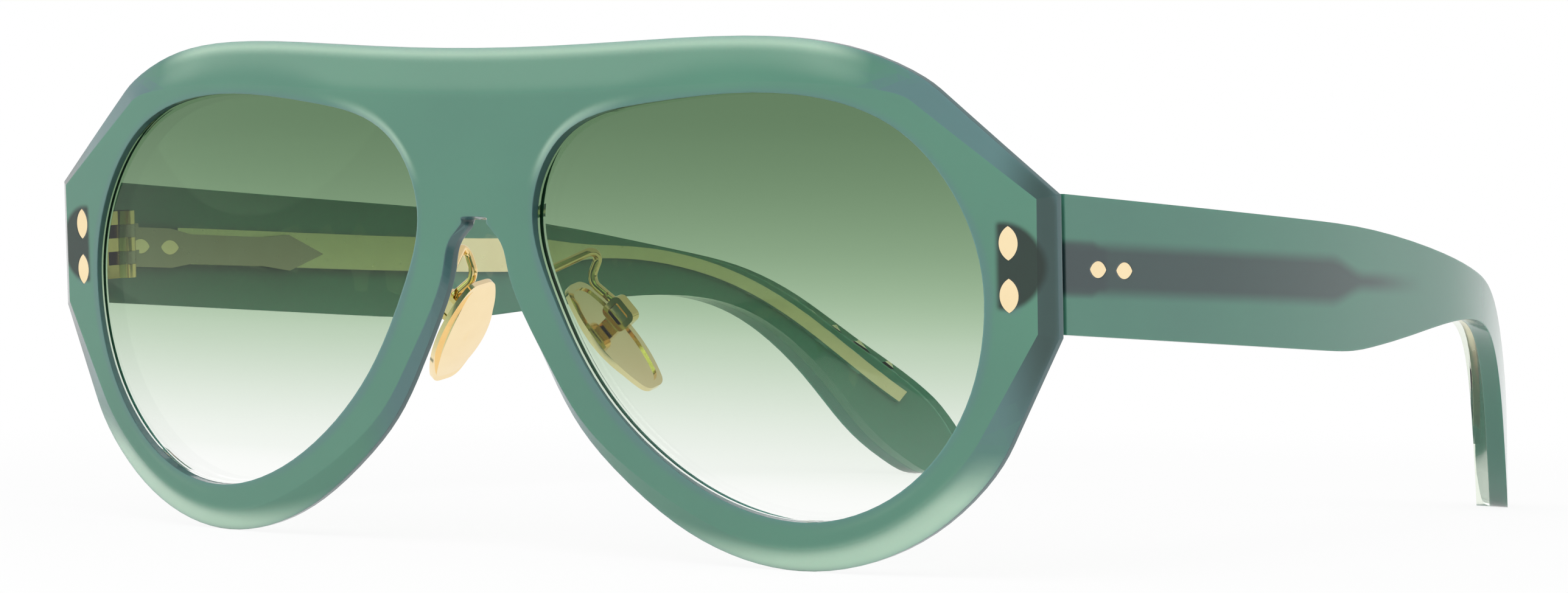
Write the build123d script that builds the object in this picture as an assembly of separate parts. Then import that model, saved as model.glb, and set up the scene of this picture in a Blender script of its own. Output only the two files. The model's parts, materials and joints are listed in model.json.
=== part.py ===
from build123d import *
from math import atan2, cos, degrees, sin, sqrt
import os

# Aviator sunglasses, millimetres.
# Modelled in the wearer's optical frame: the front faces -Y, the temples run
# back along +Y, +X is the wearer's left, +Z is up, and the bridge's front face
# is at the origin. At the end the whole part is tipped to stand on its rims and
# temple tips, with the origin on the table under the middle of its box.

# ---------------------------------------------------------------- dimensions
FRONT_WIDTH = 143.8      # across the end pieces
FRONT_HEIGHT = 56.7      # brow to rim bottom
FRONT_THICKNESS = 3.3    # acetate sheet the front is cut from
FACE_RADIUS = 375.0      # front curves gently round the face
BEVEL_DEPTH = 1.0        # depth of the bevel round the outline, in front
BACK_BEVEL_DEPTH = 1.5   # and behind
BACK_BEVEL = 1.2         # width of the one behind
OPENING_BEVEL = 1.1      # width of the bevel round each lens opening
OPENING_DEPTH = 0.8      # and its depth

LENS_RADIUS = 190.0      # spherical lens, about three dioptres
LENS_THICKNESS = 2.0
LENS_BULGE = 1.0         # lens middle ahead of the rim's middle
TONGUE = 0.9             # height and width of the ridge that sits in the groove
GROOVE_CLEARANCE = 0.04

TEMPLE_THICKNESS = 4.0
OUTER_LAYER = 2.3        # milky layer; the rest of the temple is clear
TEMPLE_GAP = 0.25        # between the end piece and the temple
TEMPLE_INSET = 0.7       # temple face inside the end piece's side
CORE_THICKNESS = 0.9
CORE_WIDTH = 4.4
CORE_TAIL_WIDTH = 1.7

HINGE_Z = -2.26          # middle of the hinge
PIVOT_INSET = 6.5        # pivot inside the end piece's side
PIVOT_BEHIND = 3.0       # pivot behind the end piece's back
BARREL_RADIUS = 1.5
KNUCKLE = 1.6            # height of one of the five knuckles
PIN_RADIUS = 0.65
RUNNING = 0.03           # radial clearance in the hinges
AXIAL = 0.05             # clearance between knuckles
PLATE = 0.7              # hinge plate let into the end piece
PLATE_RADIUS = 4.0
PLATE_MIDDLE = 6.2       # middle of its round inside the end piece's side
PLATE_FLAT = 7.3         # its flat side inside the end piece's side
TEMPLE_PLATE = 1.0
TEMPLE_PLATE_PROUD = 0.4

RIVET_LENGTH, RIVET_WIDTH = 3.55, 2.1     # pointed rivets in the end pieces
RIVET_SPACING = 5.42
RIVET_INSET = 4.8
PIN_LENGTH, PIN_WIDTH = 3.0, 1.75         # pointed pins in the temples
PIN_FIRST, PIN_SPACING = 16.4, 4.9
FIT = 0.02

PAD_LENGTH, PAD_WIDTH = 14.7, 7.4
PAD_FLANGE, PAD_BORDER = 0.6, 0.55        # thickness and width of the pad's flat border
PAD_CROWN, PAD_DOME = 1.35, 30.0
ARM_RADIUS = 0.5
ARM_ROOT_Y = 1.6         # bottom of the arm's hole in the front
RING_LENGTH, RING_DEPTH, RING_WIDTH = 3.4, 3.0, 1.3
RING_WALL = 0.65
PAD_PIN_RADIUS = 0.35

HALF = FRONT_WIDTH / 2
SX = HALF / 71.9
SZ = FRONT_HEIGHT / 56.7
TALL = 160.0


# ------------------------------------------------------------------- helpers
def at(points):
    """Outline points of the front, in step with its width and height."""
    return [(x * SX, z * SZ) for x, z in points]


def surface_y(x, depth=0.0):
    """Y of the curved sheet at x, at a depth behind its front face."""
    return FACE_RADIUS - sqrt((FACE_RADIUS - depth) ** 2 - x * x)


def behind(depth):
    """All space behind the curved surface at a depth."""
    return Pos(0, FACE_RADIUS, 0) * Cylinder(FACE_RADIUS - depth, TALL)


def sheet(d0, d1):
    """Curved sheet between two depths."""
    return behind(d0) - behind(d1)


def prism_y(face):
    """Straight prism along Y from a face drawn in X and Z."""
    return extrude(Plane.XZ * face, amount=80, both=True)


def prism_x(face):
    """Straight prism along X from a face drawn in Y and Z."""
    return extrude(Plane.YZ * face, amount=120, both=True)


def marquise(length, width):
    """Pointed oval, its points up and down, from two arcs."""
    r = (length ** 2 + width ** 2) / (4 * width)
    side = Circle(r)
    return (Pos(r - width / 2, 0) * side) & (Pos(width / 2 - r, 0) * side)


def one(shape):
    """The single solid of a boolean result."""
    found = shape.solids()
    return max(found, key=lambda s: s.volume)


# --------------------------------------------------------------------- front
brow = at([(0, 21.1), (12, 21.3), (24, 21.8), (36, 22.1), (45, 21.5),
           (52, 19.8), (58.8, 16.3)])
corner_top, corner_low, cheek = at([(71.9, 5.35), (71.9, -9.4), (66.3, -20.6)])
lower = at([(66.3, -20.6), (62.3, -26.0), (57.7, -29.8), (51, -33.1),
            (43, -34.6), (35, -33.8), (27, -30.8), (19.3, -25.7),
            (13.2, -19.9), (9.2, -13.7), (6.2, -8.2), (4.3, -3.4),
            (2.9, 0.2), (1.6, 1.7), (0, 2.2)])
opening_points = at([(64.3, -5.5), (61.3, 5.1), (54.4, 12.4), (45, 15.6),
                     (35, 16.05), (23.7, 15.0), (12.3, 11.2), (8.35, 3.0),
                     (10.8, -5.6), (16.4, -15.1), (24.2, -22.6),
                     (34.3, -27.9), (44, -29.25), (53.5, -26.2),
                     (61.3, -18.0)])
# inner ends of the bevel on the front face
brow_in = at([(0, 16.0), (12, 16.2), (24, 16.7), (36, 17.2), (44, 17.1),
              (51, 16.5), (56.5, 15.1)])
corner_top_in, corner_low_in = at([(70.3, 5.0), (70.2, -8.9)])
lower_in = at([(63.8, -19.6), (60.0, -24.3), (55.8, -27.7), (50.0, -30.7),
               (43, -32.2), (35.6, -31.5), (28.4, -28.8), (20.5, -24.3),
               (14.2, -19.1), (10.0, -13.2), (6.7, -7.9), (4.7, -3.2),
               (3.3, 0.4), (1.8, 2.05), (0, 2.6)])


def unit(a, b):
    """Direction from a to b."""
    dx, dy = b[0] - a[0], b[1] - a[1]
    n = sqrt(dx * dx + dy * dy)
    return (dx / n, dy / n)


def moved_in(points, before, after, amount):
    """Points of the outline moved square to it, into the plate. It runs clockwise."""
    row = [before] + points + [after]
    result = []
    for k, p in enumerate(points, 1):
        t0, t1 = unit(row[k - 1], row[k]), unit(row[k], row[k + 1])
        share = 1 + t0[0] * t1[0] + t0[1] * t1[1]
        result.append((p[0] + (t0[1] + t1[1]) / share * amount,
                       p[1] - (t0[0] + t1[0]) / share * amount))
    return result


def half_loop(top, corners, low):
    """Right half of a closed outline: brow, three straight facets, rim and nose arch."""
    return [
        Spline(*top, tangents=[(1, 0), unit(top[-1], corners[0])]),
        Line(top[-1], corners[0]),
        Line(corners[0], corners[1]),
        Line(corners[1], low[0]),
        Spline(*low, tangents=[unit(corners[1], low[0]), (-1, 0)]),
    ]


def both_halves(edges):
    return edges + [mirror(e, about=Plane.YZ) for e in edges]


def bevelled(outer, crown, base, thickness, d0, d1):
    """Curved plate with a crown loop in front and a base loop behind, both sloping to the outer loop."""
    wall = one(prism_y(make_face(outer)) & sheet(d0, d1))
    ahead = one(prism_y(make_face(crown)) & sheet(0, thickness))
    rear = one(prism_y(make_face(base)) & sheet(0, thickness))

    def skin(solid, d):
        return min((f for f in solid.faces() if f.geom_type == GeomType.CYLINDER),
                   key=lambda f: abs(sqrt(f.center().X ** 2 + (f.center().Y - FACE_RADIUS) ** 2)
                                     - FACE_RADIUS + d))

    def match(face, edge):
        m = edge @ 0.5
        return min(face.edges(), key=lambda e: ((e @ 0.5).X - m.X) ** 2 + ((e @ 0.5).Z - m.Y) ** 2)

    def slopes(skin_a, loop_a, skin_b, loop_b):
        return [Face.make_surface_from_curves(match(skin_a, a), match(skin_b, b))
                for a, b in zip(loop_a, loop_b)]

    front_edge, back_edge = skin(wall, d0), skin(wall, d1)
    front_skin, back_skin = skin(ahead, 0), skin(rear, thickness)
    rest = [f for f in wall.faces() if not f.is_same(front_edge) and not f.is_same(back_edge)]
    return Solid(Shell([front_skin, back_skin] + slopes(front_edge, outer, front_skin, crown)
                       + slopes(back_edge, outer, back_skin, base) + rest))


corners = [corner_top, corner_low]
edge_brow, edge_corners, edge_lower = (
    moved_in(brow, (-brow[1][0], brow[1][1]), corner_top, BACK_BEVEL),
    moved_in(corners, brow[-1], cheek, BACK_BEVEL),
    moved_in(lower, corner_low, (-lower[-2][0], lower[-2][1]), BACK_BEVEL))
outer_loop = both_halves(half_loop(brow, corners, lower))
crown_loop = both_halves(half_loop(brow_in, (corner_top_in, corner_low_in), lower_in))
base_loop = both_halves(half_loop(edge_brow, edge_corners, edge_lower))
front = bevelled(outer_loop, crown_loop, base_loop, FRONT_THICKNESS, BEVEL_DEPTH,
                 FRONT_THICKNESS - BACK_BEVEL_DEPTH)

# Lens openings. The lens is a spherical shell whose edge carries a ridge, and
# the rim's groove is the same ridge with a little clearance.
opening = make_face([Spline(*opening_points, periodic=True)])
lens_middle = (opening.bounding_box().min.X + opening.bounding_box().max.X) / 2
lens_axis_z = (opening.bounding_box().min.Y + opening.bounding_box().max.Y) / 2
lens_apex = surface_y(lens_middle, FRONT_THICKNESS / 2) - LENS_THICKNESS / 2 - LENS_BULGE


def lens_shell(d0, d1):
    """Spherical shell between two depths behind the lens's front surface, square to the front."""
    slope = lens_middle / FACE_RADIUS
    centre = (lens_middle - LENS_RADIUS * sin(slope), lens_apex + LENS_RADIUS * cos(slope),
              lens_axis_z)
    return Pos(*centre) * (Sphere(LENS_RADIUS - d0) - Sphere(LENS_RADIUS - d1))


def grown(amount):
    """The opening's outline moved out by an amount."""
    loop = opening.edges()[0]
    points = []
    for k in range(40):
        p, t = loop @ (k / 40), loop % (k / 40)
        points.append((p.X + t.Y * amount, p.Y - t.X * amount))
    return make_face([Spline(*points, periodic=True)])


def ridge_disc(gap):
    """Disc that reaches into the rim: the lens's ridge, or with a gap its groove."""
    start = (LENS_THICKNESS - TONGUE) / 2
    return one(prism_y(grown(TONGUE + gap)) & lens_shell(start - gap, start + TONGUE + gap))


def flared(solid, side):
    """Bevel the front edge of one lens opening."""
    face = max((f for f in solid.faces() if f.geom_type == GeomType.CYLINDER and f.inner_wires()),
               key=lambda f: f.area)
    rims = [w for w in face.inner_wires() if w.center().X * side > 0]
    return one(solid.chamfer(OPENING_BEVEL, OPENING_DEPTH, rims[0].edges(), face))


def mirrored(shape):
    return mirror(shape, about=Plane.YZ)


hole = prism_y(opening)
front = one(front - hole - mirrored(hole))
front = flared(flared(front, 1), -1)
groove = ridge_disc(GROOVE_CLEARANCE)
body = one(prism_y(grown(-GROOVE_CLEARANCE)) & lens_shell(0, LENS_THICKNESS))
lens = one(body + ridge_disc(0))

# --------------------------------------------------------------------- hinge
side_x = HALF
pivot_x = side_x - PIVOT_INSET
pivot_y = surface_y(pivot_x, FRONT_THICKNESS) + PIVOT_BEHIND
rivet_x = side_x - RIVET_INSET
rivet_z = [HINGE_Z + RIVET_SPACING / 2, HINGE_Z - RIVET_SPACING / 2]


def knuckle(index, radius, trim, x0, x1, y0, y1):
    """One knuckle, counted from the top, with the web that carries it."""
    z1 = HINGE_Z + KNUCKLE * (2.5 - index) - trim
    z0 = HINGE_Z + KNUCKLE * (1.5 - index) + trim
    tall, z = z1 - z0, (z0 + z1) / 2
    barrel = Pos(pivot_x, pivot_y, z) * Cylinder(radius, tall)
    web = Pos(pivot_x + (x0 + x1) / 2, pivot_y + (y0 + y1) / 2, z) * Box(x1 - x0, y1 - y0, tall)
    return barrel + web


bore = Pos(pivot_x, pivot_y, HINGE_Z) * Cylinder(PIN_RADIUS + RUNNING, 5 * KNUCKLE + 4)
seat = Pos(pivot_x, pivot_y, HINGE_Z + 2.5 * KNUCKLE - 0.35) * Cylinder(1.05 + RUNNING, 0.7 + 0.02)


def rivet(z, gap=0.0):
    """Pointed rivet through the end piece, flush with the front face."""
    return one(prism_y(Pos(rivet_x, z) * marquise(RIVET_LENGTH + 2 * gap, RIVET_WIDTH + 2 * gap))
               & sheet(0, FRONT_THICKNESS))


def front_plate(gap):
    """D-shaped hinge plate let into the back of the end piece."""
    r = PLATE_RADIUS + gap
    middle, flat = side_x - PLATE_MIDDLE, side_x - PLATE_FLAT - gap
    outline = Pos(middle, HINGE_Z) * Circle(r) + Pos((flat + middle) / 2, HINGE_Z) * Rectangle(middle - flat, 2 * r)
    outline &= Pos(flat + 10, HINGE_Z) * Rectangle(20, 30)
    return one(prism_y(outline) & sheet(FRONT_THICKNESS - PLATE - gap, FRONT_THICKNESS + gap))


plate = front_plate(0)
reach = pivot_y - surface_y(pivot_x, FRONT_THICKNESS) + PLATE / 2
for i in (0, 2, 4):
    plate += knuckle(i, BARREL_RADIUS, 0, -0.7, 1.2, -reach, 0)
plate -= bore + seat
rivets = [rivet(z) for z in rivet_z]
for z in rivet_z:
    plate -= rivet(z, FIT)
hinge_front = one(plate)

screw = Pos(pivot_x, pivot_y, HINGE_Z - 0.36) * Cylinder(PIN_RADIUS, 5 * KNUCKLE - 0.72)
screw += Pos(pivot_x, pivot_y, HINGE_Z + 2.5 * KNUCKLE - 0.35) * Cylinder(1.05, 0.7)
screw -= Pos(pivot_x, pivot_y, HINGE_Z + 2.5 * KNUCKLE) * Box(2.4, 0.3, 0.5)
hinge_screw = one(screw)

# -------------------------------------------------------------------- temple
# Plan: the outer face runs straight back, then bows in towards the tip.
plan_points = [(5, 0), (31, 0.1), (51, -0.3), (71, -1.8), (90, -4.2),
               (109, -7.8), (127.4, -14.3), (149.6, -25.3), (158, -30.0)]
outer_plan = Spline(*[(side_x - TEMPLE_INSET + dx, y) for y, dx in plan_points],
                    tangents=[(0, 1), (-0.49, 0.87)])


def plan_curve(inset):
    """The plan curve moved in by an inset."""
    points = []
    for k in range(15):
        p, t = outer_plan @ (k / 14), outer_plan % (k / 14)
        points.append((p.X - t.Y * inset, p.Y + t.X * inset))
    return Spline(*points)


def plan_band(a, b):
    """Everything between two insets, full height."""
    c0, c1 = plan_curve(a), plan_curve(b)
    face = make_face([c0, Line(c0 @ 1, c1 @ 1), c1, Line(c1 @ 0, c0 @ 0)])
    return extrude(face, amount=TALL / 2, both=True)


top_start, top_end, low_start, low_end = (7, 5.72), (60, 0.0), (64.7, -15.0), (7, -8.84)
side_outline = make_face([
    Line(top_start, top_end),
    Spline(top_end, (71.3, -1.3), (85.3, -3.5), (100.8, -6.6), (111.2, -9.0),
           (118.9, -11.2), (127.4, -15.6), (135.9, -22.2), (144.5, -29.2),
           (149.6, -35.4), (150.6, -39.4), (147.9, -42.2), (143.2, -40.2),
           (138.8, -36.2), (132.3, -27.8), (127.2, -22.3), (121.8, -18.3),
           (116.3, -16.0), (109.5, -14.8), (100.5, -14.5), (84.9, -15.2),
           (76.5, -15.5), low_start,
           tangents=[unit(top_start, top_end), unit(low_start, low_end)]),
    Line(low_start, low_end),
    Line(low_end, top_start),
])
temple_room = behind(FRONT_THICKNESS + TEMPLE_GAP)
temple_block = prism_x(side_outline) & temple_room
outer = one(temple_block & plan_band(0, OUTER_LAYER))
inner = one(temple_block & plan_band(OUTER_LAYER, TEMPLE_THICKNESS))


def ribbon(centre, half_widths):
    """Closed strip about a centre line, with a width at each point."""
    n = len(centre)
    up, down = [], []
    for k, (p, h) in enumerate(zip(centre, half_widths)):
        t = unit(centre[max(k - 1, 0)], centre[min(k + 1, n - 1)])
        up.append((p[0] - t[1] * h, p[1] + t[0] * h))
        down.append((p[0] + t[1] * h, p[1] - t[0] * h))
    a, b = Spline(*up), Spline(*down)
    return make_face([a, Line(a @ 1, b @ 1), b, Line(b @ 0, a @ 0)])


def core(gap):
    """Core wire: a flat strip that narrows to a thin tail down the tip."""
    w, t = CORE_WIDTH / 2 + gap, CORE_TAIL_WIDTH / 2 + gap
    strip = ribbon([(23.4 - gap, -3.2), (40, -4.6), (60, -6.3), (80, -7.7), (88, -8.0),
                    (94, -8.1), (100, -8.4), (109, -9.7), (119, -13.0), (128, -18.4),
                    (135.7, -24.8), (143 + gap, -31.0)],
                   [w, w, w, w, w * 0.8 + t * 0.2, t * 1.3, t, t, t, t, t, t])
    return one(prism_x(strip) & plan_band(OUTER_LAYER - (0.01 if gap else 0),
                                          OUTER_LAYER + CORE_THICKNESS + gap))


core_wire = core(0)

pin_y = [PIN_FIRST, PIN_FIRST + PIN_SPACING]


def centre_z(y):
    """Height of the hinge plate's middle line along the temple."""
    return HINGE_Z - 0.45 - 0.087 * (y - 14)


def temple_plate(gap):
    """Hinge plate on the inside of the temple, necked, with a pointed end."""
    y0, yn, yf, y1 = pivot_y + 0.95 - gap, 25.0, 42.0, 48.0 + gap
    shape = [(y0, 2.4), (21.5, 2.4), (yn, 1.8), (37.5, 1.8), (yf, 2.25), (y1, 0.0)]
    up = [(y, centre_z(max(y, 13)) + (h + gap if h else 0)) for y, h in shape]
    down = [(y, centre_z(max(y, 13)) - (h + gap)) for y, h in reversed(shape[:-1])]
    outline_2d = make_face(Polyline(*up, *down, close=True))
    inset = TEMPLE_THICKNESS - TEMPLE_PLATE + TEMPLE_PLATE_PROUD
    return prism_x(outline_2d) & plan_band(inset - gap, inset + TEMPLE_PLATE + gap)


def temple_pin(y, gap=0.0):
    """Pointed pin through the temple, lying along it, flush with the outer face."""
    drawn = marquise(PIN_LENGTH + 2 * gap, PIN_WIDTH + 2 * gap)
    flat = Pos(y, centre_z(y) + 0.1) * Rot(0, 0, 85) * drawn
    return one(prism_x(flat) & plan_band(0, TEMPLE_THICKNESS + TEMPLE_PLATE_PROUD))


web_out = (side_x - TEMPLE_INSET - TEMPLE_THICKNESS) - pivot_x + 0.3
leaf = temple_plate(0)
for i in (1, 3):
    leaf += knuckle(i, BARREL_RADIUS, AXIAL, 0, web_out, 0, 2.6)
leaf -= bore
for y in pin_y:
    leaf -= temple_pin(y, FIT)
hinge_temple = one(leaf)
temple_pins = [temple_pin(y) for y in pin_y]

web_room = Pos(pivot_x + web_out / 2, pivot_y + 1.3, HINGE_Z) \
    * Box(web_out + 2 * FIT, 2.6 + 2 * FIT, 3 * KNUCKLE)
inner -= temple_plate(FIT) + web_room + core(FIT)
for y in pin_y:
    inner -= temple_pin(y, FIT)
    outer -= temple_pin(y, FIT)
temple_inner, temple_outer = one(inner), one(outer)

# ------------------------------------------------------------------ nose pads
pad_middle = Vector(11.55, 10.6, -10.85)
pad_long = Vector(0.606, 0.204, -0.769).normalized()
pad_in = Vector(-0.785, 0, -0.619).normalized()
pad_plane = Plane(origin=pad_middle, x_dir=pad_long, z_dir=pad_in)


def pad_outline(margin):
    """Long oval with blunt ends."""
    oval = Rot(0, 0, 90) * marquise(PAD_LENGTH + 4.3 - 2 * margin, PAD_WIDTH - 2 * margin)
    blunt = oval & Rectangle(PAD_LENGTH - 2 * margin, PAD_WIDTH)
    return fillet(blunt.vertices(), 1.7)


flange = extrude(pad_outline(0), amount=PAD_FLANGE)
crown = extrude(pad_outline(PAD_BORDER), amount=3) \
    & Pos(0, 0, PAD_CROWN - PAD_DOME) * Sphere(PAD_DOME)
tray = extrude(pad_outline(PAD_BORDER + 0.2), amount=0.25)
pad_body = one(flange + one(crown) - tray)

ring_middle = (-1.3, 0, -2.35)
ring = Pos(*ring_middle) * Box(RING_LENGTH, RING_WIDTH, RING_DEPTH)
ring = fillet(ring.edges().filter_by(Axis.Y), 0.8)
eye = Pos(*ring_middle) * Box(RING_LENGTH - 2 * RING_WALL, RING_WIDTH + 1, RING_DEPTH - 2 * RING_WALL)
ring -= fillet(eye.edges().filter_by(Axis.Y), 0.3)
pad_pin_hole = Pos(*ring_middle) * Rot(0, 90, 0) * Cylinder(PAD_PIN_RADIUS + RUNNING, RING_LENGTH + 2)
pad_pin_local = Pos(*ring_middle) * Rot(0, 90, 0) * Cylinder(PAD_PIN_RADIUS, RING_LENGTH)
lug_long = RING_LENGTH - 2 * RING_WALL - 2 * AXIAL
lug = Pos(ring_middle[0], -0.75, ring_middle[2]) * Box(lug_long, 2.5, 1.1)
lug += Pos(ring_middle[0], -1.5, (ring_middle[2] + 0.3) / 2) * Box(lug_long, 1.0, -ring_middle[2] + 0.3)
pad_local = pad_body + lug - pad_pin_hole
nose_pad = pad_plane * one(pad_local)
pad_pin = pad_plane * pad_pin_local

ring_top = pad_plane.from_local_coords(Vector(ring_middle[0] - RING_LENGTH / 2 + 0.3, 0, ring_middle[2] - 0.3))
root = Vector(7.0 * SX, ARM_ROOT_Y, -3.6)
arm_path = FilletPolyline(root, Vector(7.3 * SX, 4.6, -3.5), Vector(10.4, 10.3, -1.0), Vector(8.6, 10.0, -4.9),
                          ring_top, radius=[2.0, 1.1, 1.5])


def arm(radius):
    return sweep(Plane(origin=root, z_dir=arm_path % 0) * Circle(radius), path=arm_path)


arm_wire = arm(ARM_RADIUS)
pad_arm = one(arm_wire + pad_plane * ring - pad_plane * pad_pin_hole)
arm_hole = arm(ARM_RADIUS + FIT)

# ---------------------------------------------------- cut the front to its fittings
for z in rivet_z:
    front -= rivet(z, FIT) + mirrored(rivet(z, FIT))
front -= front_plate(FIT) + mirrored(front_plate(FIT))
front -= arm_hole + mirrored(arm_hole)
front -= groove + mirrored(groove)
front = one(front)

nodes = {"front": front}
halves = {
    "lens": lens, "hinge_front": hinge_front, "hinge_screw": hinge_screw,
    "rivet_upper": rivets[0], "rivet_lower": rivets[1],
    "temple_outer": temple_outer, "temple_inner": temple_inner, "core_wire": core_wire,
    "hinge_temple": hinge_temple, "temple_pin_front": temple_pins[0],
    "temple_pin_rear": temple_pins[1],
    "pad_arm": pad_arm, "nose_pad": nose_pad, "pad_pin": pad_pin,
}
for name, shape in halves.items():
    nodes[name + "_left"] = shape
    nodes[name + "_right"] = mirrored(shape)

# ------------------------------------------------------------- stand it on a table
rim_low = min(v[1] for v in lower)
tilt = degrees(atan2(rim_low + 42.25, 148 - 4))
tipped = {name: Rot(tilt, 0, 0) * shape for name, shape in nodes.items()}
box = Compound(children=[s for t in tipped.values() for s in t.solids()]).bounding_box()
shift = Pos(0, -(box.min.Y + box.max.Y) / 2, -box.min.Z)

os.makedirs("parts", exist_ok=True)
for name, shape in tipped.items():
    export_step(shift * shape, "parts/" + name + ".step")
print("tilt", tilt, "shift", shift.position, "pivot", pivot_x, pivot_y, HINGE_Z)
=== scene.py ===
import json
from math import copysign, cos, pi, radians, sin

import bpy
from mathutils import Euler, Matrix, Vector
from mathutils.bvhtree import BVHTree


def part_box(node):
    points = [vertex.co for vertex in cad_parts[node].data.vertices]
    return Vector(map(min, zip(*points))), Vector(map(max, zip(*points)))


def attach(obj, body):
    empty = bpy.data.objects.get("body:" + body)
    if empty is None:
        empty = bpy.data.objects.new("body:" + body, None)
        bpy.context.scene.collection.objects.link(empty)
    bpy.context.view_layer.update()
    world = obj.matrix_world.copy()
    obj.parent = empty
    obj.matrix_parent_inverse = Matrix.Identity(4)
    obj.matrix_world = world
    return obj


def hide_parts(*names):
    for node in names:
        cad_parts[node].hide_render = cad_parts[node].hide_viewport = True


bl_info = {
    "name": "Sunglasses finishes",
    "version": (1, 0, 0),
    "blender": (4, 5, 0),
    "location": "View3D > Sidebar > Sunglasses",
    "description": "Finishes for aviator sunglasses on their packed model, with a studio stage",
    "category": "Object",
}

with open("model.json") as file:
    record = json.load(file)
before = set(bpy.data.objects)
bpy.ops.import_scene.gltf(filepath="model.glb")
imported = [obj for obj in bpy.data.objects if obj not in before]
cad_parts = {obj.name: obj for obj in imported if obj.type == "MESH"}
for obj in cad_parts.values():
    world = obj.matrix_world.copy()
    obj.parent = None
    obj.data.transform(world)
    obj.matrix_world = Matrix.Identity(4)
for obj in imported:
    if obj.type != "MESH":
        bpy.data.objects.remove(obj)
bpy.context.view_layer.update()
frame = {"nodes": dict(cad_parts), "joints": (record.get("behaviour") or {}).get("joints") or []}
MM = 0.001
SIDES = ("left", "right")
FACE_RADIUS = 375 * MM    # curve of the front's face, seen from above
PLATE_INSET = 0.6 * MM    # middle of the front's hinge plate, inwards from the rivets
PLATE_RISE = 0.25 * MM    # and up from between them
TOUCHING = 0.004 * MM     # a point this near to the milky layer lies on the bonded face
BOND_DEPTH = 0.02 * MM    # how far the clear layer goes into the milky one


# ---------------------------------------------------------------- node helpers
def new_material(name):
    """An empty node material and its Principled shader."""
    material = bpy.data.materials.new(name)
    material.use_nodes = True
    tree = material.node_tree
    return material, tree, tree.nodes["Principled BSDF"]


def connect(tree, value, slot):
    """Put a socket or a plain value on an input."""
    if isinstance(value, bpy.types.NodeSocket):
        tree.links.new(value, slot)
    elif value is not None:
        slot.default_value = value


def calc(tree, operation, *values, clamp=False):
    """A Math node on sockets or numbers. Returns its output."""
    node = tree.nodes.new("ShaderNodeMath")
    node.operation, node.use_clamp = operation, clamp
    for slot, value in zip(node.inputs, values):
        connect(tree, value, slot)
    return node.outputs[0]


def product(tree, *values):
    """The values multiplied together."""
    result = values[0]
    for value in values[1:]:
        result = calc(tree, "MULTIPLY", result, value)
    return result


def squares(tree, a, b):
    """The sum of two squares."""
    return calc(tree, "ADD", product(tree, a, a), product(tree, b, b))


def between(tree, factor, low, high):
    """low where the factor is 0, high where it is 1."""
    return calc(tree, "ADD", product(tree, factor, calc(tree, "SUBTRACT", high, low)), low)


def ramp(tree, value, low, high):
    """0 at low, 1 at high, smooth between. high may be the lower number."""
    node = tree.nodes.new("ShaderNodeMapRange")
    node.interpolation_type = "SMOOTHSTEP"
    for name, v in (("Value", value), ("From Min", low), ("From Max", high)):
        connect(tree, v, node.inputs[name])
    return node.outputs["Result"]


def inside(tree, depth, soft):
    """1 where the depth is positive, 0 where it is negative, with a soft edge."""
    return ramp(tree, depth, product(tree, soft, -1), soft)


def blend(tree, factor, a, b):
    """Mix two colours. Returns the colour socket."""
    node = tree.nodes.new("ShaderNodeMix")
    node.data_type = "RGBA"
    connect(tree, factor, node.inputs["Factor"])
    connect(tree, a, node.inputs[6])
    connect(tree, b, node.inputs[7])
    return node.outputs[2]


def vector_calc(tree, operation, *vectors):
    """A Vector Math node. Returns its outputs."""
    node = tree.nodes.new("ShaderNodeVectorMath")
    node.operation = operation
    for slot, vector in zip(node.inputs, vectors):
        connect(tree, vector, slot)
    return node.outputs


def xyz(tree, vector):
    """X, Y and Z of a vector."""
    node = tree.nodes.new("ShaderNodeSeparateXYZ")
    tree.links.new(vector, node.inputs[0])
    return node.outputs


def away_from(tree, centre):
    """X, Y and Z of the surface from a point of the object's own frame."""
    here = tree.nodes.new("ShaderNodeTexCoord").outputs["Object"]
    return xyz(tree, vector_calc(tree, "SUBTRACT", here, centre)["Vector"])


def mix_shaders(tree, factor, first, second):
    """Two shaders, mixed on the material's output."""
    mix = tree.nodes.new("ShaderNodeMixShader")
    for slot, value in zip(mix.inputs, (factor, first, second)):
        tree.links.new(value, slot)
    tree.links.new(mix.outputs[0], tree.nodes["Material Output"].inputs["Surface"])


def new_group(name, inputs, output):
    """A shader node group with one float output. inputs holds a name, kind and default for each.

    Returns its tree, its inputs and the output's socket.
    """
    tree = bpy.data.node_groups.new(name, "ShaderNodeTree")
    for label, kind, default in inputs:
        tree.interface.new_socket(label, in_out="INPUT", socket_type=kind).default_value = default
    tree.interface.new_socket(output, in_out="OUTPUT", socket_type="NodeSocketFloat")
    return tree, tree.nodes.new("NodeGroupInput").outputs, tree.nodes.new("NodeGroupOutput").inputs[0]


def use_group(tree, name, **values):
    """One of the groups below, placed in a material with its own values. Returns its output."""
    node = tree.nodes.new("ShaderNodeGroup")
    node.node_tree = bpy.data.node_groups[name]
    for label, value in values.items():
        connect(tree, value, node.inputs[label.replace("_", " ")])
    return node.outputs[0]


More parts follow.
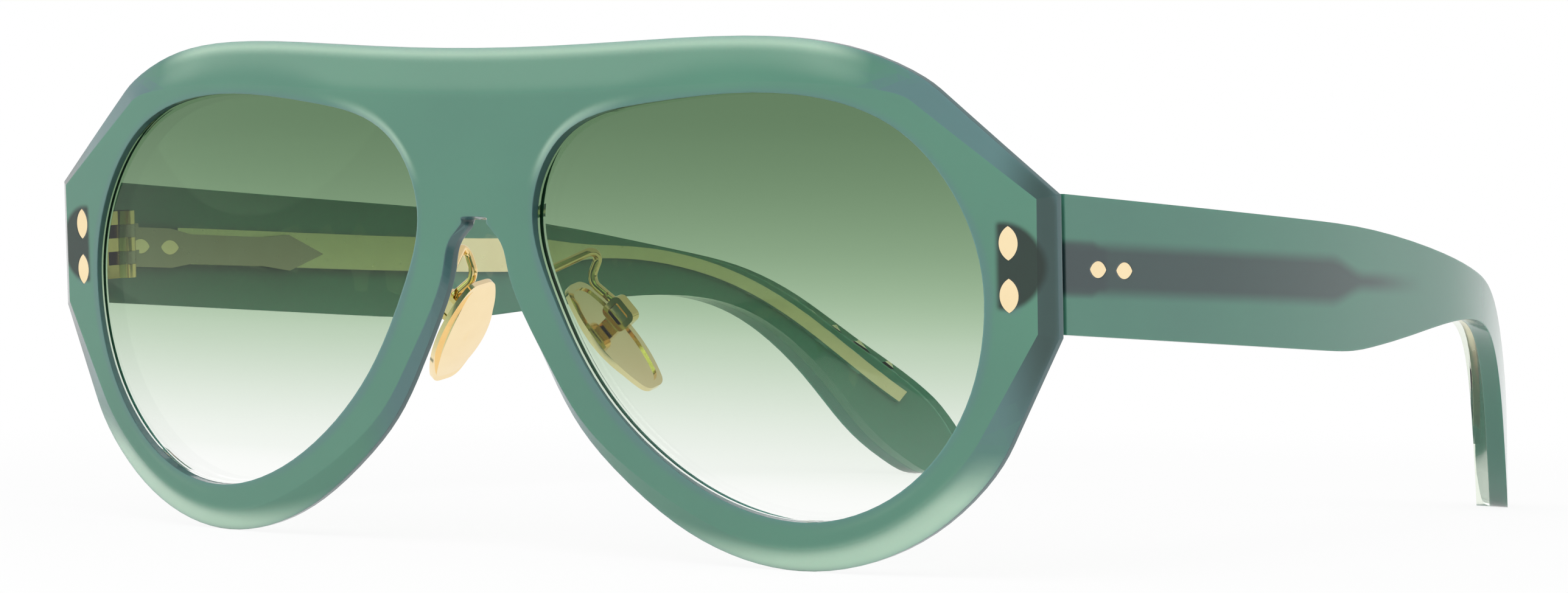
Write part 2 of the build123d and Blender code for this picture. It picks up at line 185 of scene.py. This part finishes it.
# ------------------------------------------------------------- shared effects
def plate_group():
    """Shade of a D-shaped hinge plate that lies inside the sheet."""
    tree, given, out = new_group(
        "plate inside",
        [("Centre", "NodeSocketVector", (0, 0, 0)), ("Radius", "NodeSocketFloat", 4.5 * MM),
         ("Flat", "NodeSocketFloat", 0.7 * MM), ("Softness", "NodeSocketFloat", 0.4 * MM)],
        "Mask")
    x, _, z = away_from(tree, given["Centre"])
    side = calc(tree, "SIGN", xyz(tree, given["Centre"])["X"])
    outwards = product(tree, x, side)
    radius = calc(tree, "SQRT", squares(tree, x, z))
    disc = inside(tree, calc(tree, "SUBTRACT", given["Radius"], radius), given["Softness"])
    flat_side = inside(tree, calc(tree, "ADD", outwards, given["Flat"]), given["Softness"])
    tree.links.new(product(tree, disc, flat_side), out)


def strip_group():
    """Shade of a metal strip inside the sheet. It runs back along Y and narrows to a tail."""
    tree, given, out = new_group(
        "strip inside",
        [("Start", "NodeSocketVector", (0, 0, 0)), ("Length", "NodeSocketFloat", 30 * MM),
         ("Half Height", "NodeSocketFloat", 2 * MM), ("Tail", "NodeSocketFloat", 0.8 * MM),
         ("Taper", "NodeSocketFloat", 8 * MM), ("Slope", "NodeSocketFloat", 0.0),
         ("Softness", "NodeSocketFloat", 1 * MM), ("Fade", "NodeSocketFloat", 20 * MM)],
        "Mask")
    _, y, z = away_from(tree, given["Start"])
    off = calc(tree, "ABSOLUTE", calc(tree, "SUBTRACT", z, product(tree, y, given["Slope"])))
    end = calc(tree, "ADD", given["Length"], given["Taper"])
    half = between(tree, ramp(tree, y, given["Length"], end), given["Half Height"], given["Tail"])
    across = inside(tree, calc(tree, "SUBTRACT", half, off), given["Softness"])
    fading = ramp(tree, y, calc(tree, "ADD", end, given["Fade"]), end)
    tree.links.new(product(tree, across, inside(tree, y, 0.2 * MM), fading), out)


def cloud_group():
    """Slow, faint change of depth in a sheet or plating."""
    tree, given, out = new_group(
        "cloud", [("Scale", "NodeSocketFloat", 60.0), ("Amount", "NodeSocketFloat", 0.1)], "Depth")
    noise = tree.nodes.new("ShaderNodeTexNoise")
    noise.inputs["Detail"].default_value = 2.0
    tree.links.new(tree.nodes.new("ShaderNodeTexCoord").outputs["Object"], noise.inputs["Vector"])
    tree.links.new(given["Scale"], noise.inputs["Scale"])
    centred = calc(tree, "SUBTRACT", noise.outputs["Fac"], 0.5)
    tree.links.new(product(tree, centred, given["Amount"]), out)


def thin_group():
    """1 at thin edges and bevels, 0 where the sheet is thick."""
    tree, given, out = new_group(
        "thin edge",
        [("Distance", "NodeSocketFloat", 2.4 * MM), ("Thick", "NodeSocketFloat", 0.9),
         ("Thin", "NodeSocketFloat", 0.35)],
        "Mask")
    within = tree.nodes.new("ShaderNodeAmbientOcclusion")
    within.inside = within.only_local = True
    within.samples = 8
    tree.links.new(given["Distance"], within.inputs["Distance"])
    tree.links.new(ramp(tree, within.outputs["AO"], given["Thick"], given["Thin"]), out)


# ------------------------------------------------------------------- settings
def colour(name, description, value):
    """A colour that the panel shows."""
    return bpy.props.FloatVectorProperty(name=name, description=description, subtype="COLOR", size=4,
                                         default=(*value, 1))


class SheetSettings(bpy.types.PropertyGroup):
    front: colour("Front", "Milky colour of the front", (0.094, 0.262, 0.180))
    temple: colour("Temple", "Milky colour of the temples", (0.058, 0.205, 0.143))
    # Painted shade on the cut walls; the milky colour also drifts towards it at random, as cloudiness
    edge: colour("Edge", "Colour of the cut walls", (0.045, 0.105, 0.11))
    # Painted shade on the bevels at the corners, the end pieces and the nose arch, and on thin edges
    bevel_shade: colour("Slate", "Colour of the bevels at the corners and the end pieces", (0.10, 0.19, 0.21))
    # Painted shade, darkest, on the end pieces' outer sides
    side: colour("Side", "Colour of the end pieces' outer sides", (0.014, 0.024, 0.036))
    # Painted light: the bevels along the brow and the rims lightened in this colour
    painted_light: colour("Glow", "Colour of the bevels along the brow and the rims", (0.52, 0.72, 0.57))
    deep: colour("Deep", "Colour over the hinge plates inside the front", (0.005, 0.02, 0.013))
    strip: colour("Strip", "Colour over the metal inside the temples", (0.012, 0.034, 0.038))
    clear: colour("Clear", "Tint of the clear inner layer", (0.88, 0.93, 0.82))


class LensSettings(bpy.types.PropertyGroup):
    top: colour("Top", "Tint at the brow", (0.115, 0.205, 0.106))
    upper: colour("Upper", "Tint a third of the way down", (0.222, 0.352, 0.205))
    middle: colour("Middle", "Tint half way down", (0.43, 0.59, 0.40))
    bottom: colour("Bottom", "Tint in the lower part", (0.99, 1.0, 0.98))


class MetalSettings(bpy.types.PropertyGroup):
    gilt: colour("Gilt", "Colour of the front hinges, screws and pad arms", (0.93, 0.70, 0.33))
    pale: colour("Pale gilt", "Colour of the nose pads, rivets and temple pins", (0.98, 0.80, 0.50))
    plate: colour("Hinge plate", "Colour of the pointed plates inside the temples", (0.42, 0.38, 0.29))
    wire: colour("Core wire", "Colour of the wires inside the temples", (0.86, 0.75, 0.53))
    roughness: bpy.props.FloatProperty(
        name="Roughness", description="Polish of the metal", default=0.1, min=0, max=1)


class StageSettings(bpy.types.PropertyGroup):
    azimuth: bpy.props.FloatProperty(
        name="Azimuth", description="Camera's turn towards +X", subtype="ANGLE", default=radians(37.214))
    elevation: bpy.props.FloatProperty(
        name="Elevation", description="Camera's rise over the target", subtype="ANGLE",
        default=radians(1.468))
    roll: bpy.props.FloatProperty(
        name="Roll", description="Camera's roll", subtype="ANGLE", default=radians(0.620))
    distance: bpy.props.FloatProperty(
        name="Distance", description="Camera to target", subtype="DISTANCE", default=0.5874)
    target: bpy.props.FloatVectorProperty(
        name="Target", description="Point that the camera looks at", subtype="TRANSLATION",
        default=(-0.00931, -0.0071, 0.0270))
    focal_length: bpy.props.FloatProperty(
        name="Focal length", description="On a sensor 36 mm wide, in millimetres", default=109.94)
    floor: bpy.props.FloatVectorProperty(
        name="Floor", description="Colour of the floor", subtype="COLOR", size=4,
        default=(0.9, 0.9, 0.9, 1))


# ------------------------------------------------------------------ materials
def uneven(tree, mean, **cloud):
    """A value that wanders a little about its mean."""
    return calc(tree, "ADD", use_group(tree, "cloud", **cloud), mean, clamp=True)


def clouded(tree, main, other, **cloud):
    """Mostly the main colour, drifting slowly towards the other."""
    return blend(tree, uneven(tree, 0.1, **cloud), main, other)


def rounded_normal(tree, radius):
    """The surface's normal, with its edges rounded by this radius."""
    node = tree.nodes.new("ShaderNodeBevel")
    node.samples = 6
    node.inputs["Radius"].default_value = radius
    return node.outputs[0]


def milky(name, body, sheet, shades, deep, zones=False):
    """Polished milky acetate in the body colour.

    shades holds a group's name, its values and its strength for each piece inside that shows, in
    the deep colour. zones adds the front's painted light and painted shade on its edges.
    """
    material, tree, shader = new_material(name)
    shade = clouded(tree, body, sheet.edge, Scale=40.0, Amount=0.5)
    if zones:
        shade = edge_zones(tree, shade, sheet)
    for group, values, strength in shades:
        shade = blend(tree, product(tree, use_group(tree, group, **values), strength), shade, deep)
    connect(tree, shade, shader.inputs["Base Color"])
    connect(tree, uneven(tree, 0.1, Scale=900.0, Amount=0.05), shader.inputs["Roughness"])
    connect(tree, rounded_normal(tree, 0.3 * MM), shader.inputs["Normal"])
    shader.inputs["Subsurface Weight"].default_value = 0.35
    shader.inputs["Subsurface Radius"].default_value = (0.8, 1.6, 1.4)
    shader.inputs["Subsurface Scale"].default_value = 1.0 * MM
    shader.inputs["IOR"].default_value = 1.48
    shader.inputs["Coat Weight"].default_value = 0.2
    shader.inputs["Coat Roughness"].default_value = 0.03
    return material


def edge_zones(tree, shade, sheet):
    """The front's bevels: painted shade at corners, sides and nose arch, painted light along brow and
    rims.
    """
    x, _, z = away_from(tree, (0, 0, 0))
    out = calc(tree, "ABSOLUTE", x)
    face = face_direction(tree, x)
    flat = steepness(tree, face, tree.nodes.new("ShaderNodeNewGeometry").outputs["True Normal"])
    soft = steepness(tree, face, rounded_normal(tree, 2.2 * MM))
    # the zones whose bevels get painted shade
    bevel_shade = calc(tree, "MAXIMUM", end_zone(tree, out, z), arch_zone(tree, out, z))

    # painted light on the outline's bevels, fading out where the painted shade begins
    rim = product(tree, ramp(tree, soft, 0.004, 0.065), ramp(tree, past_lens(tree, out, z), 1.05, 1.35))
    painted_light = product(tree, rim, calc(tree, "SUBTRACT", 0.85, bevel_shade, clamp=True))
    shade = blend(tree, painted_light, shade, sheet.painted_light)

    # painted shade on the bevels of its zones, darkest at the outer sides
    painted_shade_colour = blend(tree, ramp(tree, out, 65 * MM, 71 * MM), sheet.bevel_shade, sheet.side)
    bevel = ramp(tree, flat, 0.03, 0.075)
    shade = blend(tree, product(tree, bevel, bevel_shade, 0.8), shade, painted_shade_colour)

    # a little painted shade on every thin edge, and painted shade on the cut walls
    thin = use_group(tree, "thin edge", Distance=1.4 * MM)
    shade = blend(tree, product(tree, thin, 0.6), shade, sheet.bevel_shade)
    wall = ramp(tree, flat, 0.4, 0.8)
    return blend(tree, wall, shade, sheet.edge)


def face_direction(tree, x):
    """Where the front's curved face looks, this far from its middle."""
    up = frame["joints"][0]["axis"]   # the hinge screws lie along the face
    square = tree.nodes.new("ShaderNodeCombineXYZ")
    for slot, value in zip(square.inputs, (calc(tree, "DIVIDE", x, FACE_RADIUS), -up[2], up[1])):
        connect(tree, value, slot)
    return vector_calc(tree, "NORMALIZE", square.outputs[0])["Vector"]


def steepness(tree, face, normal):
    """0 on the face, 1 on a wall square to it."""
    level = vector_calc(tree, "DOT_PRODUCT", face, normal)["Value"]
    return calc(tree, "SUBTRACT", 1, calc(tree, "ABSOLUTE", level))


def end_zone(tree, out, z):
    """1 at the corners and the end pieces."""
    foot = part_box("lens_left")[0].z
    outwards = ramp(tree, out, 44 * MM, 54 * MM)
    upwards = ramp(tree, z, foot + 3 * MM, foot + 11 * MM)
    return product(tree, outwards, upwards)


def arch_zone(tree, out, z):
    """1 round the nose arch."""
    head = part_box("lens_left")[1].z
    inwards = ramp(tree, out, 19 * MM, 12 * MM)
    downwards = ramp(tree, z, head - 7 * MM, head - 13 * MM)
    return product(tree, inwards, downwards)


def past_lens(tree, out, z):
    """Squared distance from a lens's middle, 1 on the ellipse that fills its box."""
    low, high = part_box("lens_left")
    centre, half = (low + high) / 2, (high - low) / 2
    across = calc(tree, "DIVIDE", calc(tree, "SUBTRACT", out, centre.x), half.x)
    along = calc(tree, "DIVIDE", calc(tree, "SUBTRACT", z, centre.z), half.z)
    return squares(tree, across, along)


def let_light_through(tree, shader, tint):
    """Lamps shine through the glass: shadow rays meet a plain tinted pane."""
    pane = tree.nodes.new("ShaderNodeBsdfTransparent")
    connect(tree, tint, pane.inputs["Color"])
    mix_shaders(tree, seen(tree, "Is Shadow Ray"), shader.outputs[0], pane.outputs[0])


def glassy(tree, shader, tint, index, roughness):
    """Makes a shader see-through, with a tint."""
    connect(tree, tint, shader.inputs["Base Color"])
    shader.inputs["Transmission Weight"].default_value = 1.0
    shader.inputs["IOR"].default_value = index
    shader.inputs["Roughness"].default_value = roughness
    let_light_through(tree, shader, tint)


def clear_acetate(sheet):
    """The temples' clear inner layer."""
    material, tree, shader = new_material("clear acetate")
    deeper = (sheet.clear[0] * 0.9, sheet.clear[1] * 0.95, sheet.clear[2] * 0.9, 1)
    tint = clouded(tree, sheet.clear, deeper, Scale=30.0, Amount=0.5)
    glassy(tree, shader, tint, 1.48, 0.01)
    return material


def lens_glass(lens, foot, head):
    """Glass with a tint that runs from foot to head, both heights."""
    material, tree, shader = new_material("gradient lens")
    _, _, height = away_from(tree, (0, 0, foot))
    fade = tree.nodes.new("ShaderNodeValToRGB")
    fade.color_ramp.interpolation = "B_SPLINE"
    stops = fade.color_ramp.elements
    stops[0].position, stops[0].color = 0.12, lens.bottom
    stops[1].position, stops[1].color = 0.86, lens.top
    stops.new(0.42).color = lens.middle
    stops.new(0.62).color = lens.upper
    connect(tree, calc(tree, "DIVIDE", height, head - foot), fade.inputs[0])
    index = 1.3   # below that of glass, because the coating reflects less
    glassy(tree, shader, fade.outputs[0], index, 0.0)
    return material


def metal(name, plating, roughness):
    """Plated metal, a little warmer in places."""
    material, tree, shader = new_material(name)
    warm = (plating[0] * 0.82, plating[1] * 0.7, plating[2] * 0.55, 1)
    tint = clouded(tree, plating, warm, Scale=250.0, Amount=0.4)
    connect(tree, tint, shader.inputs["Base Color"])
    connect(tree, uneven(tree, roughness, Scale=1200.0, Amount=0.12), shader.inputs["Roughness"])
    shader.inputs["Metallic"].default_value = 1.0
    return material


# --------------------------------------------------------------------- pieces
def smooth(obj, material, sharp=28):
    """Material, and smooth shading over curved faces but not over edges sharper than this many degrees."""
    obj.data.materials.clear()
    obj.data.materials.append(material)
    obj.data.shade_smooth()
    obj.data.set_sharp_from_angle(angle=radians(sharp))


def finish(node, material, sharp=28):
    """Gives a CAD node its material and shading."""
    smooth(frame["nodes"][node], material, sharp)


def bonded(node, milky_node, body, material):
    """A clear layer in a CAD node's place.

    It has the node's mesh with the bonded face just inside the milky layer, so that no air shows.
    """
    mesh = frame["nodes"][node].data.copy()
    milk = frame["nodes"][milky_node].data
    tree = BVHTree.FromPolygons([v.co for v in milk.vertices], [p.vertices for p in milk.polygons])
    for vertex in mesh.vertices:
        if tree.find_nearest(vertex.co)[3] < TOUCHING:
            vertex.co.x += copysign(BOND_DEPTH, vertex.co.x)
    layer = bpy.data.objects.new("clear_layer_" + body, mesh)
    bpy.context.scene.collection.objects.link(layer)
    smooth(layer, material)
    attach(layer, body)
    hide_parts(node)


def middle(node):
    """The middle of a CAD node's box."""
    low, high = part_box(node)
    return (low + high) / 2


class SHADES_OT_front(bpy.types.Operator):
    """Milky finish of the front, dark over the hinge plates inside"""
    bl_idname = "shades.front"
    bl_label = "Front"

    def execute(self, context):
        sheet = context.scene.shades_sheet
        shades = []
        for side in SIDES:
            centre = (middle("rivet_upper_" + side) + middle("rivet_lower_" + side)) / 2
            centre.x -= copysign(PLATE_INSET, centre.x)
            centre.z += PLATE_RISE
            shades.append(("plate inside", {"Centre": centre}, 0.95))
        finish("front", milky("milky front", sheet.front, sheet, shades, sheet.deep, zones=True), sharp=15)
        return {"FINISHED"}


class SHADES_OT_temples(bpy.types.Operator):
    """Milky outer layers, clear inner layers and their core wires"""
    bl_idname = "shades.temples"
    bl_label = "Temples"

    def execute(self, context):
        sheet = context.scene.shades_sheet
        low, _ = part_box("temple_outer_left")
        pin, rear_pin = middle("temple_pin_front_left"), middle("temple_pin_rear_left")
        slope = (rear_pin.z - pin.z) / (rear_pin.y - pin.y)
        start = Vector((0, low.y, pin.z - (pin.y - low.y) * slope))
        plate = {"Start": start, "Slope": slope, "Length": 5.5 * MM, "Half Height": 2.75 * MM,
                 "Tail": 2.2 * MM, "Taper": 2 * MM, "Softness": 0.5 * MM, "Fade": 2 * MM}
        strip = {"Start": start, "Slope": slope, "Length": 56 * MM, "Half Height": 2.5 * MM,
                 "Tail": 0.8 * MM, "Taper": 9 * MM, "Softness": 0.9 * MM, "Fade": 20 * MM}
        shades = [("strip inside", plate, 0.8), ("strip inside", strip, 0.9)]
        milk = milky("milky temple", sheet.temple, sheet, shades, sheet.strip)
        clear = clear_acetate(sheet)
        wire = metal("core wire", context.scene.shades_metal.wire, 0.3)
        for side in SIDES:
            finish("temple_outer_" + side, milk)
            bonded("temple_inner_" + side, "temple_outer_" + side, "temple_" + side, clear)
            finish("core_wire_" + side, wire)
        return {"FINISHED"}


class SHADES_OT_lenses(bpy.types.Operator):
    """Lenses tinted at the brow and clear at the bottom"""
    bl_idname = "shades.lenses"
    bl_label = "Lenses"

    def execute(self, context):
        low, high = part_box("lens_left")
        glass = lens_glass(context.scene.shades_lens, low.z, high.z)
        for side in SIDES:
            finish("lens_" + side, glass)
        return {"FINISHED"}


class SHADES_OT_metal(bpy.types.Operator):
    """Plated hinges, screws, rivets, pins, pad arms and pads"""
    bl_idname = "shades.metal"
    bl_label = "Metal"

    def execute(self, context):
        values = context.scene.shades_metal
        gilt = metal("gilt", values.gilt, values.roughness)
        pale = metal("pale gilt", values.pale, values.roughness)
        plate = metal("hinge plate", values.plate, 0.25)
        for side in SIDES:
            finish("hinge_temple_" + side, plate)
            for node in ("hinge_front", "hinge_screw", "pad_arm", "pad_pin"):
                finish(node + "_" + side, gilt)
            for node in ("rivet_upper", "rivet_lower", "temple_pin_front", "temple_pin_rear", "nose_pad"):
                finish(node + "_" + side, pale)
        return {"FINISHED"}


# ---------------------------------------------------------------------- stage
LAMPS = (   # name, place, diameter and power
    ("key", (0.25, -0.55, 0.75), 0.8, 4.0),
    ("fill", (-0.8, -0.6, 0.35), 0.7, 2.0),
    ("side", (0.9, 0.05, 0.45), 0.6, 2.0),
)


def softbox(name, place, size, energy):
    """A broad lamp aimed at the object. It lights without its outline showing in gloss."""
    lamp = bpy.data.lights.new(name, "AREA")
    lamp.shape = "DISK"
    lamp.size, lamp.energy = size, energy
    obj = bpy.data.objects.new(name, lamp)
    bpy.context.scene.collection.objects.link(obj)
    obj.location = place
    obj.rotation_euler = (Vector((0, 0, 0.03)) - Vector(place)).to_track_quat("-Z", "Y").to_euler()
    obj.visible_glossy = False


def seen(tree, *kinds):
    """1 for rays of these kinds."""
    path = tree.nodes.new("ShaderNodeLightPath")
    share = path.outputs[kinds[0]]
    for kind in kinds[1:]:
        share = calc(tree, "ADD", share, path.outputs[kind], clamp=True)
    return share


def make_floor(paint):
    """A matt floor that takes a faint shadow near the object and is plain white farther off."""
    bpy.ops.mesh.primitive_circle_add(vertices=96, radius=6.0, fill_type="NGON", location=(0, 0, 0))
    floor = bpy.context.object
    floor.name = "floor"
    material, tree, shader = new_material("floor")
    shader.inputs["Base Color"].default_value = paint
    shader.inputs["Roughness"].default_value = 0.7
    shader.inputs["Specular IOR Level"].default_value = 0.0
    white = tree.nodes.new("ShaderNodeEmission")
    x, y, _ = away_from(tree, (0, 0, 0))
    distance = calc(tree, "SQRT", squares(tree, x, y))
    whiteness = between(tree, ramp(tree, distance, 0.1, 0.24), 0.9, 1.0)
    shown = seen(tree, "Is Camera Ray", "Is Glossy Ray", "Is Transmission Ray")
    mix_shaders(tree, product(tree, whiteness, shown), shader.outputs[0], white.outputs[0])
    floor.data.materials.append(material)


def make_world(scene):
    """White where it is seen, dimmer overhead where it is mirrored, and dimmer still as light."""
    scene.world = bpy.data.worlds.new("studio")
    scene.world.use_nodes = True
    tree = scene.world.node_tree
    background = tree.nodes["Background"]
    height = xyz(tree, tree.nodes.new("ShaderNodeTexCoord").outputs["Generated"])["Z"]
    mirrored = between(tree, ramp(tree, height, 0.0, 0.4), 1.0, 0.7)
    strength = between(tree, seen(tree, "Is Glossy Ray"), 0.55, mirrored)
    strength = between(tree, seen(tree, "Is Camera Ray", "Is Transmission Ray"), strength, 1.0)
    background.inputs["Color"].default_value = (1, 1, 1, 1)
    connect(tree, strength, background.inputs["Strength"])


def make_camera(scene, stage):
    """A long lens aimed at the target from in front and to the left."""
    camera = bpy.data.cameras.new("camera")
    camera.lens = stage.focal_length
    camera.sensor_width = 36.0
    camera.sensor_fit = "HORIZONTAL"
    camera.clip_start = 0.01
    obj = bpy.data.objects.new("camera", camera)
    scene.collection.objects.link(obj)
    level = cos(stage.elevation)
    away = Vector((sin(stage.azimuth) * level, -cos(stage.azimuth) * level, sin(stage.elevation)))
    obj.location = Vector(stage.target) + away * stage.distance
    facing = Euler((pi / 2 - stage.elevation, 0, stage.azimuth)).to_matrix()
    obj.rotation_euler = (facing @ Euler((0, 0, stage.roll)).to_matrix()).to_euler()
    scene.camera = obj


class SHADES_OT_stage(bpy.types.Operator):
    """Pale floor, soft lamps and the camera"""
    bl_idname = "shades.stage"
    bl_label = "Stage"

    def execute(self, context):
        stage = context.scene.shades_stage
        make_floor(stage.floor)
        make_world(context.scene)
        for lamp in LAMPS:
            softbox(*lamp)
        make_camera(context.scene, stage)
        context.scene.view_settings.view_transform = "Standard"
        return {"FINISHED"}


# ---------------------------------------------------------------------- panel
class SHADES_PT_panel(bpy.types.Panel):
    """The settings and the steps"""
    bl_label = "Sunglasses"
    bl_space_type = "VIEW_3D"
    bl_region_type = "UI"
    bl_category = "Sunglasses"

    def draw(self, context):
        for name in SETTINGS:
            settings = getattr(context.scene, name)
            box = self.layout.box()
            for value in settings.bl_rna.properties.keys():
                if value not in ("rna_type", "name"):
                    box.prop(settings, value)
        for operator in OPERATORS:
            self.layout.operator(operator.bl_idname)


SETTINGS = {"shades_sheet": SheetSettings, "shades_lens": LensSettings, "shades_metal": MetalSettings,
            "shades_stage": StageSettings}
OPERATORS = (SHADES_OT_stage, SHADES_OT_front, SHADES_OT_temples, SHADES_OT_lenses, SHADES_OT_metal)


def register():
    for cls in (*SETTINGS.values(), *OPERATORS, SHADES_PT_panel):
        bpy.utils.register_class(cls)
    for name, cls in SETTINGS.items():
        setattr(bpy.types.Scene, name, bpy.props.PointerProperty(type=cls))


def unregister():
    for name in SETTINGS:
        delattr(bpy.types.Scene, name)
    for cls in reversed((*SETTINGS.values(), *OPERATORS, SHADES_PT_panel)):
        bpy.utils.unregister_class(cls)


def main():
    """Builds the finishes and the stage."""
    register()
    for make in (plate_group, strip_group, cloud_group, thin_group):
        make()
    bpy.ops.shades.stage()
    bpy.ops.shades.front()
    bpy.ops.shades.temples()
    bpy.ops.shades.lenses()
    bpy.ops.shades.metal()
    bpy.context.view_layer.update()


if __name__ == "__main__":
    main()
